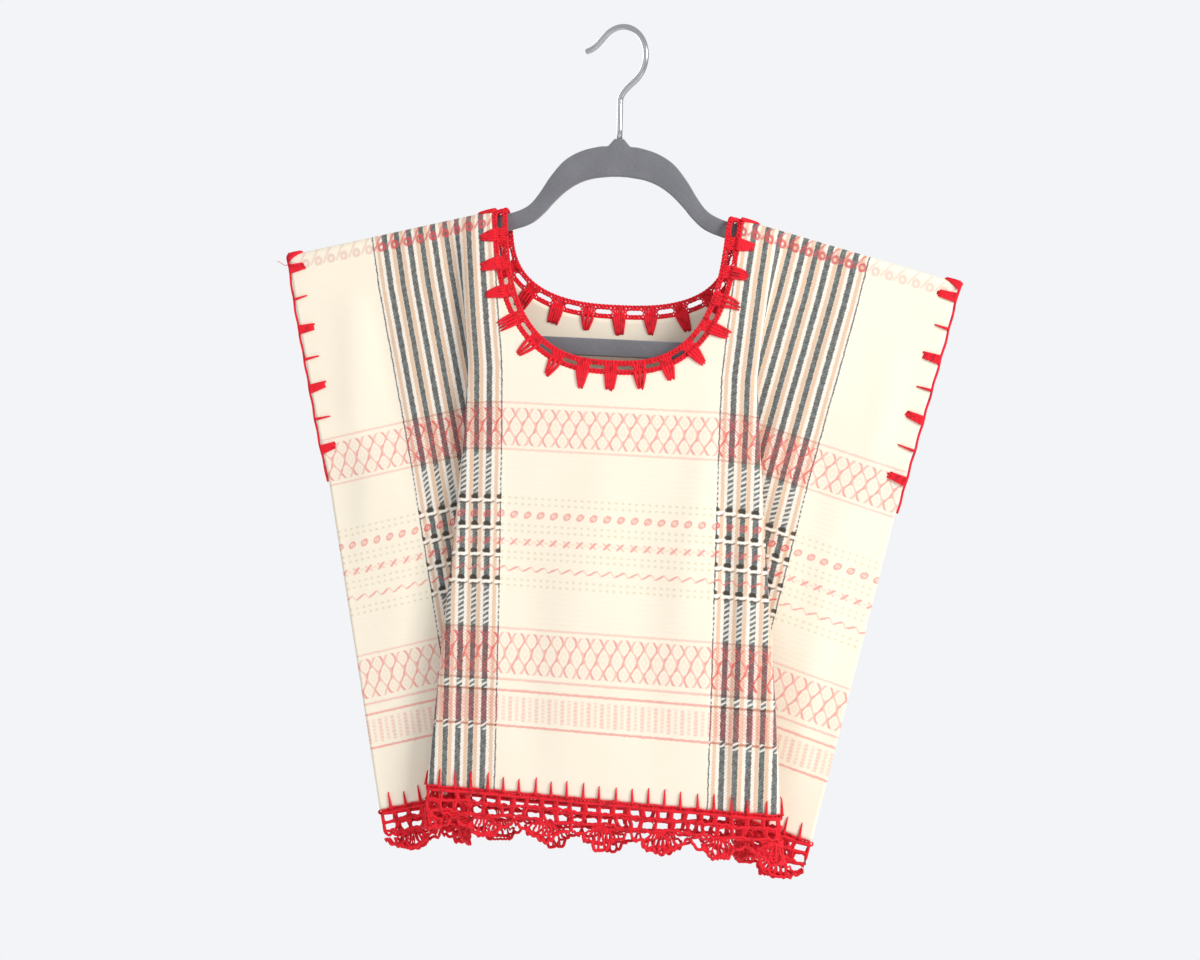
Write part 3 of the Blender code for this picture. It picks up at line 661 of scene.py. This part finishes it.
def grown(name, lines, tree, ids, sizes):
    """Lines of (points, outs, widths) through a node tree, as plain mesh data."""
    verts, edges, outs, widths = [], [], [], []
    for points, out, width in lines:
        start = len(verts)
        verts += [tuple(p) for p in placed(points)]
        edges += [(start + i, start + i + 1) for i in range(len(points) - 1)]
        outs += [tuple(n) for n in out]
        widths += list(np.broadcast_to(width, len(points)))
    mesh = bpy.data.meshes.new(name)
    mesh.from_pydata(verts, edges, [])
    for label, kind, field, values in (("out", "FLOAT_VECTOR", "vector", outs), ("width", "FLOAT", "value", widths)):
        layer = mesh.attributes.new(label, kind, "POINT")
        layer.data.foreach_set(field, np.array(values, np.float32).ravel())
    obj = bpy.data.objects.new(name, mesh)
    bpy.context.scene.collection.objects.link(obj)
    live = obj.modifiers.new("stitches", "NODES")
    live.node_group = tree
    for label, value in sizes.items():
        live[ids[label]] = value * MM
    bpy.context.view_layer.update()
    made = bpy.data.meshes.new_from_object(obj.evaluated_get(bpy.context.evaluated_depsgraph_get()))
    bpy.data.objects.remove(obj, do_unlink=True)
    return made


def stitched(name, threads, chains=()):
    """One piece of threads and chain stitches, joined."""
    parts = [grown(name + " threads", threads, THREAD, THREAD_IDS, {"Thread radius": THREAD_R})]
    if chains:
        parts.append(grown(name + " chains", chains, CHAIN, CHAIN_IDS,
                           {"Stitch long": CHAIN_LONG, "Stitch wide": CHAIN_WIDE, "Thread radius": CHAIN_R}))
    verts, faces = [], []
    for part in parts:
        start = len(verts)
        verts += [tuple(v.co) for v in part.vertices]
        faces += [tuple(start + k for k in p.vertices) for p in part.polygons]
    return new_object(name, verts, faces, [red])


def line_on(side, us, vs, w, width=1.0):
    """A thread laid through cloth points."""
    points, out = drapes[side].at(us, vs, w)
    return points, out, width


def neck_line(side):
    """The neckline from shoulder to shoulder, with a way to read points beside it."""
    turn = np.linspace(0, math.pi, 1601)
    across = -NECK_HALF * np.sign(np.cos(turn)) * np.abs(np.cos(turn)) ** (2 / NECK_POWER)
    down = NECK_STRAIGHT + (NECK_DEPTH[side] - NECK_STRAIGHT) * np.sin(turn) ** (2 / NECK_POWER)
    us = np.concatenate(([-NECK_HALF], across, [NECK_HALF]))
    vs = np.concatenate(([0.0], down, [0.0]))
    length = np.concatenate(([0.0], np.cumsum(np.hypot(np.diff(us), np.diff(vs)))))
    total = length[-1]

    def beside(s, b):
        s = np.clip(np.asarray(s, float), 0, total)
        u, v = np.interp(s, length, us), np.interp(s, length, vs)
        lo, hi = np.clip(s - 2.5, 0, total), np.clip(s + 2.5, 0, total)
        tu = np.interp(hi, length, us) - np.interp(lo, length, us)
        tv = np.interp(hi, length, vs) - np.interp(lo, length, vs)
        size = np.hypot(tu, tv)
        return u + b * tv / size, np.maximum(v - b * tu / size, 0.1)
    return total, beside


def neck_crochet(name, side):
    """Two rims, a worked block in each pitch with an eyelet between, and stitches to the cloth."""
    total, beside = neck_line(side)
    pitch = total / BAND_CELLS[side]
    rng = np.random.default_rng(7 + side)
    s = np.linspace(0, total, 260)
    chains = [line_on(side, *beside(s, b), 0.2) for b in (1.5, 8.0)]
    threads = [line_on(side, *beside(s, b), w, wide) for b, w, wide in ((0.8, 0.0, 1.0), (8.6, 0.1, 0.9))]
    for k in range(BAND_CELLS[side] + 1):
        middle = k * pitch
        for step in np.linspace(-3.3, 3.3, 5):
            at = min(max(middle + step, 0.3), total - 0.3)
            b = np.linspace(1.0, 8.2, 7)
            lean = at + (b - 4.5) * (0.05 * step + rng.uniform(-0.05, 0.05))
            threads.append(line_on(side, *beside(lean, b), 0.2 + 0.25 * np.sin(b * 1.4), 1.2))
        spots = middle + np.linspace(-3.4, 3.4, int(rng.integers(3, 6)))
        if k in (0, BAND_CELLS[side]):
            spots = middle + (1 if k == 0 else -1) * np.linspace(0.8, 3.4, 3)
        long, pull = TAB_LONG * rng.uniform(0.9, 1.2), rng.uniform(0.2, 0.75)
        slant = rng.uniform(-0.12, 0.12)
        for spot in spots:
            b = np.linspace(2.0, -long * rng.uniform(0.88, 1.04), 9)
            reach = np.clip(-b / long, 0, 1)
            lean = middle + (spot - middle) * (1.0 - pull * reach) + slant * np.minimum(b, 0)
            width = 1.75 - 0.85 * reach ** 2
            lift = TAB_LIFT - 0.9 * ease((reach - 0.86) / 0.14)
            threads.append(line_on(side, *beside(lean, b), lift, width))
            threads.append(line_on(side, *beside(lean, b), -lift, width))
    for k in range(BAND_CELLS[side]):
        middle = (k + 0.5) * pitch
        around = np.linspace(0, 2 * math.pi, 17)
        eyelet = beside(middle + EYELET_LONG * np.cos(around), 4.6 + EYELET_DEEP * np.sin(around))
        threads.append(line_on(side, *eyelet, 0.1, 0.8))
    return stitched(name, threads, chains)


def hem_crochet(name, side):
    """Three worked rows with open gaps between their posts, then fans with a scalloped rim."""
    rng = np.random.default_rng(21 + side)
    cell = 2 * CLOTH_HALF / (LACE_FANS * FAN_CELLS)
    low_u, high_u = -CLOTH_HALF + 0.9, CLOTH_HALF - 0.9
    u = np.linspace(low_u, high_u, 420)

    def wander(d, u):
        """Rows sag and rise a little, the more the lower they lie."""
        return d + d * 0.05 * np.sin(u / 9.0 + d) + d * 0.04 * np.sin(u / 3.7 + 2 * d)

    def along(us, ds, w=0.0, width=1.0):
        us = np.clip(us, low_u, high_u)
        threads.append(line_on(side, us, hem_v(us, side) + wander(ds, us), w, width))

    chains = [line_on(side, u, hem_v(u, side) + 1.5, 0.0)]
    threads = []
    along(u, LACE_CHAINS[0] + 1.4 + 0 * u, 0.0, 1.9)
    for d in LACE_CHAINS[1:]:
        for lift, shift in ((0.35, -0.55), (-0.35, 0.55)):
            along(u, d + shift + 0.35 * np.sin(u * 1.1 + shift), lift, 1.35)
    for k in range(LACE_FANS * FAN_CELLS + 1):
        at = -CLOTH_HALF + k * cell
        for row in (0, 1):
            top, foot = LACE_CHAINS[row], LACE_CHAINS[row + 1]
            lean, start = rng.uniform(-2.4, 2.4), rng.uniform(-1.4, 1.4) * row
            for shift in (-0.6, 0.6):
                d = np.linspace(top, foot, 7)
                t = (d - top) / (foot - top)
                flare = shift * (1.0 + 2.4 * (2 * t - 1) ** 4)
                along(at + start + flare + lean * t, d, 0.35 * shift, 1.35)
    fan = cell * FAN_CELLS
    for k in range(LACE_FANS):
        middle = -CLOTH_HALF + (k + 0.5) * fan + rng.uniform(-1.5, 1.5)
        root, reach, spread = LACE_CHAINS[2], rng.uniform(11.5, 14.0), rng.uniform(12.0, 14.5)
        tips = []
        for angle in np.linspace(-1.1, 1.1, FAN_SPOKES):
            t = np.linspace(0, 1, 7)
            us = middle + (2.6 * angle) * (1 - t) + spread * math.sin(angle) * t
            ds = root + (reach * math.cos(angle * 0.9) + 0.6) * t
            along(us, ds, 0.0, 1.3)
            tips.append((us[-1], ds[-1]))
        tips = np.array(tips)
        t = np.linspace(0, FAN_SPOKES - 1, 8 * (FAN_SPOKES - 1) + 1)
        us = np.interp(t, range(FAN_SPOKES), tips[:, 0])
        ds = np.interp(t, range(FAN_SPOKES), tips[:, 1]) + 0.9 * np.abs(np.sin(t * math.pi))
        along(us, ds, 0.15, 1.7)
        along(us, ds - 1.5, -0.15, 1.2)
        for way in (-1, 1):
            end_u, end_d = tips[0 if way < 0 else -1]
            t = np.linspace(0, 1, 10)
            us = end_u + (middle + way * fan / 2 - end_u) * t
            along(us, end_d + (LACE_DEEP - end_d) * t + 2.2 * np.sin(t * math.pi), 0.0, 1.6)
    return stitched(name, threads, chains)


neck_front = neck_crochet("neck_crochet_front", FRONT)
neck_back = neck_crochet("neck_crochet_back", BACK)
hem_front = hem_crochet("hem_crochet_front", FRONT)
hem_back = hem_crochet("hem_crochet_back", BACK)
for piece, cad, slot in ((neck_front, "neck_band_front", "crochet_neck_front"),
                         (neck_back, "neck_band_back", "crochet_neck_back"),
                         (hem_front, "hem_lace_front", "crochet_hem_front"),
                         (hem_back, "hem_lace_back", "crochet_hem_back")):
    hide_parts(cad)
    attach(piece, "root")

# The sewing: blanket stitch in doubled red thread, thick and thin by turns round each armhole
# and in plain spikes along the hem. The edge thread runs from stitch to stitch.
ARM_STITCH, ARM_FIRST, ARM_END = 22.0, 12.5, 168.0
ARM_LONG, ARM_THIN, ARM_THREADS = 11.5, 10.5, 4
HEM_STITCH, HEM_LONG = 11.7, 12.0
LOOSE_LONG, LOOSE_V, LOOSE_WIDTH = 8.0, 8.5, 0.32


def armhole_stitching(name, half):
    """One edge thread down each panel, its stitches, the wraps at the tip and a loose end."""
    rng = np.random.default_rng(40 + half)
    threads = []
    edge = CLOTH_HALF + 1.2
    for side in (FRONT, BACK):
        v = np.linspace(0.1, ARM_END, 110)
        width = 1.15 + 1.3 * np.exp(-v / 4.0)
        threads.append(line_on(side, half * (edge + 0.25 * np.sin(v / 3.1)), v, -0.2, width))
        at, thick = ARM_FIRST, True
        while at < ARM_END - 6:
            count, long = (ARM_THREADS, ARM_LONG) if thick else (1, ARM_THIN)
            long *= rng.uniform(0.9, 1.15)
            slant = rng.uniform(-1.6, 0.4)
            t = np.linspace(0, 1, 9)
            lift = 1.35 - 1.1 * ease((t - 0.88) / 0.12)
            width = (1.75 - 0.6 * t) if thick else (1.6 - 0.9 * t)
            for i in range(count):
                aside = i - (count - 1) / 2
                us = edge - t * (long + rng.uniform(-1.4, 0.8))
                drop = at + aside * 1.5 + t * slant - aside * 0.35 * t
                threads.append(line_on(side, half * us, np.clip(drop, 0.3, ARM_END - 1), lift, width))
            at += ARM_STITCH
            thick = not thick
    t = np.linspace(0, 1, 8)
    for k, (near, far) in enumerate(((6.0, 0.6), (4.0, 0.4), (2.0, 0.3))):
        us, lift = edge - (10.5 - 2.0 * k) * t, 1.3 - 1.0 * ease((t - 0.85) / 0.15)
        threads.append(line_on(FRONT, half * us, near + (far - near) * t, lift, 1.9))
    if half < 0:
        t = np.linspace(0, 1, 12)
        vs = LOOSE_V + 1.2 * np.sin(5 * t)
        threads.append(line_on(FRONT, -(edge + LOOSE_LONG * t), vs, -0.2 + 1.5 * t, LOOSE_WIDTH))
    return stitched(name, threads)


def hem_spikes(name, side):
    """Tapering upright stitches over the top of the lace, and the thread they stand on."""
    rng = np.random.default_rng(60 + side)
    threads = []
    count = int(2 * CLOTH_HALF / HEM_STITCH)
    for k in range(count):
        at = (k + 0.5 - count / 2) * HEM_STITCH + rng.uniform(-0.6, 0.6)
        long = HEM_LONG * rng.uniform(0.85, 1.1)
        t = np.linspace(0, 1, 9)
        us = at + rng.uniform(-0.5, 0.5) * t
        lift = 1.5 - 1.3 * ease((t - 0.9) / 0.1)
        threads.append(line_on(side, us, hem_v(us, side) + 0.8 - t * long, lift, 1.75 - 1.25 * t))
    u = np.linspace(-CLOTH_HALF + 1, CLOTH_HALF - 1, 300)
    threads.append(line_on(side, u, hem_v(u, side) + 0.1 + 0.3 * np.sin(u / 2.3), 0.9, 0.8))
    return stitched(name, threads)


arm_left = armhole_stitching("armhole_stitching_left", -1)
arm_right = armhole_stitching("armhole_stitching_right", 1)
spikes_front = hem_spikes("hem_stitching_front", FRONT)
spikes_back = hem_spikes("hem_stitching_back", BACK)
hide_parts("armhole_edging_left")
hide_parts("armhole_edging_right")
for piece, slot in ((arm_left, "thread_left"), (arm_right, "thread_right"),
                    (spikes_front, "crochet_hem_front"), (spikes_back, "crochet_hem_back")):
    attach(piece, "root")



def area_above(curve, half, side):
    """Square millimetres between the shoulder fold and a curve, from side to side."""
    u = np.linspace(-half, half, 400)
    v = curve(u, side)
    return float(((v[1:] + v[:-1]) * (u[1] - u[0]) / 2).sum())


for cloth, side, with_it in ((front_cloth, FRONT, (neck_front, hem_front, spikes_front, arm_left, arm_right)),
                             (back_cloth, BACK, (neck_back, hem_back, spikes_back))):
    long = FRONT_DROP + (BACK_DIP if side == BACK else 0.0)
    area = area_above(hem_v, CLOTH_HALF, side) - area_above(neck_v, NECK_HALF, side)
    long * MM

# The hanger: a slim moulded frame under grey flock, with a lower bar, and a bright steel wire
# hook set in its collar.
HANGER_T, HANGER_EDGE = 5.0, 1.4
HANGER_COLUMNS = ("outer_x", "outer_z", "inner_x", "inner_z")
HANGER_HALF = (
    (0.0, -77.4, 0.0, -104.0), (3.3, -77.4, 6.0, -104.2),
    (7.6, -82.4, 12.0, -104.9), (14.0, -83.2, 20.0, -106.4),
    (27.0, -86.8, 29.0, -110.0), (39.0, -94.0, 38.0, -116.2),
    (49.0, -106.0, 46.5, -124.6), (56.0, -117.0, 53.0, -132.0),
    (64.0, -126.6, 62.0, -139.4), (76.0, -132.4, 76.0, -144.6),
    (96.0, -137.4, 96.0, -149.8), (130.0, -146.0, 130.0, -158.2),
    (170.0, -156.2, 170.0, -168.2), (204.0, -164.8, 196.0, -174.8),
    (216.0, -169.6, 203.0, -179.0), (222.0, -178.5, 208.5, -185.5),
    (222.5, -194.0, 210.5, -196.0), (220.0, -213.0, 207.0, -210.0),
    (212.0, -225.6, 201.0, -216.6), (198.0, -231.0, 192.0, -218.8),
    (120.0, -231.7, 120.0, -219.0), (0.0, -231.7, 0.0, -219.0),
)
FLOCK, FLOCK_LIT = rgb(92, 93, 99), rgb(134, 135, 141)


def flock():
    mat, tree, shader = finish_of("grey flock", 0.95, sheen=0.6)
    at = node(tree, "ShaderNodeTexCoord")
    nap = Sock(tree, noise_3d(tree, at.outputs["Object"], 900.0, 2.0).outputs[0])
    brushed = Sock(tree, noise_3d(tree, at.outputs["Object"], 42.0, 2.0).outputs[0])
    colour = mix(tree, nap * 0.5 + brushed * 0.5, FLOCK, FLOCK_LIT)
    finish_with(tree, shader, colour, 0.35, 0.0004, nap)
    return mat


def steel():
    mat, _, shader = finish_of("bright steel wire", 0.22, metallic=1.0)
    shader.inputs["Base Color"].default_value = (*rgb(196, 198, 202), 1.0)
    return mat


def hanger_body(mat):
    """The frame's outline eased through its table, one closed ring with rounded edges."""
    right = [dict(zip(HANGER_COLUMNS, row)) for row in HANGER_HALF]
    left = [{**r, "outer_x": -r["outer_x"], "inner_x": -r["inner_x"]} for r in reversed(right[1:-1])]
    loop = np.array([[r[c] for c in HANGER_COLUMNS] for r in right + left])
    n, fine = len(loop), 4
    smooth_loop = []
    for i in range(n):
        p0, p1, p2, p3 = [loop[(i + k) % n] for k in (-1, 0, 1, 2)]
        sharp = i in (0, 1, n - 1, n - 2)
        for k in range(fine):
            t = k / fine
            square, cube = 2 * p0 - 5 * p1 + 4 * p2 - p3, 3 * p1 - p0 - 3 * p2 + p3
            eased = 0.5 * (2 * p1 + (p2 - p0) * t + square * t * t + cube * t ** 3)
            smooth_loop.append(p1 + (p2 - p1) * t if sharp else eased)
    y = HANGER_T / 2
    verts, faces, round_steps = [], [], 4
    for ox, oz, ix, iz in smooth_loop:
        outer, inner = np.array((ox, 0.0, oz)), np.array((ix, 0.0, iz))
        way = (inner - outer) / np.linalg.norm(inner - outer)
        for base, sign, depth in ((outer, 1, -1), (inner, -1, -1), (inner, -1, 1), (outer, 1, 1)):
            angles = np.linspace(0, math.pi / 2, round_steps)
            if (base is inner) == (depth < 0):
                angles = angles[::-1]
            for a in angles:
                inset = HANGER_EDGE * (1 - math.cos(a))
                up = y - HANGER_EDGE * (1 - math.sin(a))
                verts.append(base + way * sign * inset + np.array((0, depth * up, 0)))
    sides, count = 4 * round_steps, len(smooth_loop)
    for i in range(count):
        j = (i + 1) % count
        for k in range(sides):
            m = (k + 1) % sides
            faces.append((i * sides + k, j * sides + k, j * sides + m, i * sides + m))
    return new_object("hanger_body", placed(np.array(verts)), faces, [mat])


hanger = hanger_body(flock())
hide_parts("hanger_frame")
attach(hanger, "root")

# The hook: the loop stands a little turned from the frame.
WIRE_R, WIRE_SIDES = 2.0, 20
HOOK_INNER_R, HOOK_SWIVEL = 19.5, math.radians(28.0)
HOOK_FOOT_Z, HOOK_STRAIGHT_Z, HOOK_PULL = -77.1, -50.0, 16.0
HOOK_FROM, HOOK_TO = math.radians(-52.0), math.radians(131.0)
TIP_STRAIGHT, TIP_R, TIP_TURN = 8.0, 20.0, math.radians(33.0)


def hook_wire(mat):
    r, centre = HOOK_INNER_R + WIRE_R, -HOOK_INNER_R
    flat = [(0.0, z) for z in np.linspace(HOOK_FOOT_Z, HOOK_STRAIGHT_Z, 5)]
    start = np.array((r * math.cos(HOOK_FROM), centre + r * math.sin(HOOK_FROM)))
    near = start - np.array((-math.sin(HOOK_FROM), math.cos(HOOK_FROM))) * HOOK_PULL / 3
    foot, lift = np.array((0.0, HOOK_STRAIGHT_Z)), np.array((0.0, HOOK_STRAIGHT_Z + HOOK_PULL / 3))
    for t in np.linspace(0, 1, 14)[1:-1]:
        rest = 1 - t
        flat.append(tuple(rest ** 3 * foot + 3 * t * rest ** 2 * lift + 3 * t * t * rest * near + t ** 3 * start))
    flat += [(r * math.cos(t), centre + r * math.sin(t)) for t in np.linspace(HOOK_FROM, HOOK_TO, 50)]
    x, z = flat[-1]
    x, z = x - TIP_STRAIGHT * math.sin(HOOK_TO), z + TIP_STRAIGHT * math.cos(HOOK_TO)
    flat += [(x + TIP_R * (math.cos(HOOK_TO) - math.cos(t)), z + TIP_R * (math.sin(HOOK_TO) - math.sin(t)))
             for t in np.linspace(HOOK_TO, HOOK_TO - TIP_TURN, 12)]
    plane = np.array((math.cos(HOOK_SWIVEL), -math.sin(HOOK_SWIVEL), 0.0))
    up = np.array((0.0, 0.0, 1.0))
    normal = np.cross(plane, up)
    path = [x * plane + z * up for x, z in flat]
    sides, verts, faces = WIRE_SIDES, [], []
    angles = np.linspace(0, 2 * math.pi, sides, endpoint=False)
    for i, p in enumerate(path):
        ahead = path[min(i + 1, len(path) - 1)] - path[max(i - 1, 0)]
        ahead /= np.linalg.norm(ahead)
        other = np.cross(normal, ahead)
        verts += [p + WIRE_R * (math.cos(a) * normal + math.sin(a) * other) for a in angles]
    for i in range(len(path) - 1):
        for k in range(sides):
            m = (k + 1) % sides
            faces.append((i * sides + k, i * sides + m, (i + 1) * sides + m, (i + 1) * sides + k))
    faces += [tuple(range(sides))[::-1], tuple(range((len(path) - 1) * sides, len(path) * sides))]
    return new_object("hook_wire", placed(np.array(verts)), faces, [mat])


hook = hook_wire(steel())
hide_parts("hanger_hook")
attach(hook, "root")

# The studio: a pale floor well below, soft light from the front right, an even pale sky.
FLOOR_Z, FLOOR_HALF = -0.95, 1.05
PALE, SKY_LIGHT = rgb(240, 240, 242), 0.62
ground, _, ground_shader = finish_of("studio floor", 0.9)
ground_shader.inputs["Base Color"].default_value = (*PALE, 1.0)
corners = [(x * FLOOR_HALF, y * FLOOR_HALF, FLOOR_Z) for x, y in ((-1, -1), (1, -1), (1, 1), (-1, 1))]
floor = new_object("studio_floor", corners, [(0, 1, 2, 3)], [ground], smooth=False)

sky = bpy.data.worlds.new("studio")
bpy.context.scene.world = sky
sky.use_nodes = True
lit, seen = [node(sky.node_tree, "ShaderNodeBackground", None, {"Color": (*colour, 1.0), "Strength": strength})
             for colour, strength in ((rgb(246, 246, 248), SKY_LIGHT), (rgb(243, 244, 247), 1.0))]
path = node(sky.node_tree, "ShaderNodeLightPath")
either = node(sky.node_tree, "ShaderNodeMixShader", None,
              {0: path.outputs["Is Camera Ray"], 1: lit.outputs[0], 2: seen.outputs[0]})
sky.node_tree.links.new(either.outputs[0], sky.node_tree.nodes["World Output"].inputs[0])


LIGHT_COLUMNS = ("name", "at", "size", "power", "colour")
LIGHTS = (
    ("window", (1.7, -1.3, 0.5), 0.9, 40.0, (1.0, 0.985, 0.95)),
    ("fill", (-1.2, -1.8, 0.2), 1.5, 3.0, (0.95, 0.97, 1.0)),
    ("rear", (-1.4, 1.7, 0.3), 1.4, 26.0, (1.0, 0.99, 0.97)),
)
LIGHTS_AIM = Vector((0.0, 0.0, -0.33))
for row in LIGHTS:
    c = dict(zip(LIGHT_COLUMNS, row))
    lamp = bpy.data.lights.new(c["name"], "AREA")
    lamp.size, lamp.energy, lamp.color = c["size"], c["power"], c["colour"]
    obj = bpy.data.objects.new(c["name"], lamp)
    obj.location = c["at"]
    obj.rotation_euler = (LIGHTS_AIM - Vector(c["at"])).to_track_quat("-Z", "Y").to_euler()
    bpy.context.scene.collection.objects.link(obj)

CAMERA_AZIMUTH, CAMERA_DISTANCE, CAMERA_LENS = math.radians(8.5), 1.5, 63.5
aim = Vector((-0.0156, 0.0, -0.3186))
camera = bpy.data.objects.new("camera", bpy.data.cameras.new("camera"))
camera.data.sensor_width, camera.data.lens = 36.0, CAMERA_LENS
camera.location = aim + CAMERA_DISTANCE * Vector((math.sin(CAMERA_AZIMUTH), -math.cos(CAMERA_AZIMUTH), 0.0))
camera.rotation_euler = (math.pi / 2, 0.0, CAMERA_AZIMUTH)
bpy.context.scene.collection.objects.link(camera)
bpy.context.scene.camera = camera

bpy.context.scene.view_settings.view_transform = "Standard"
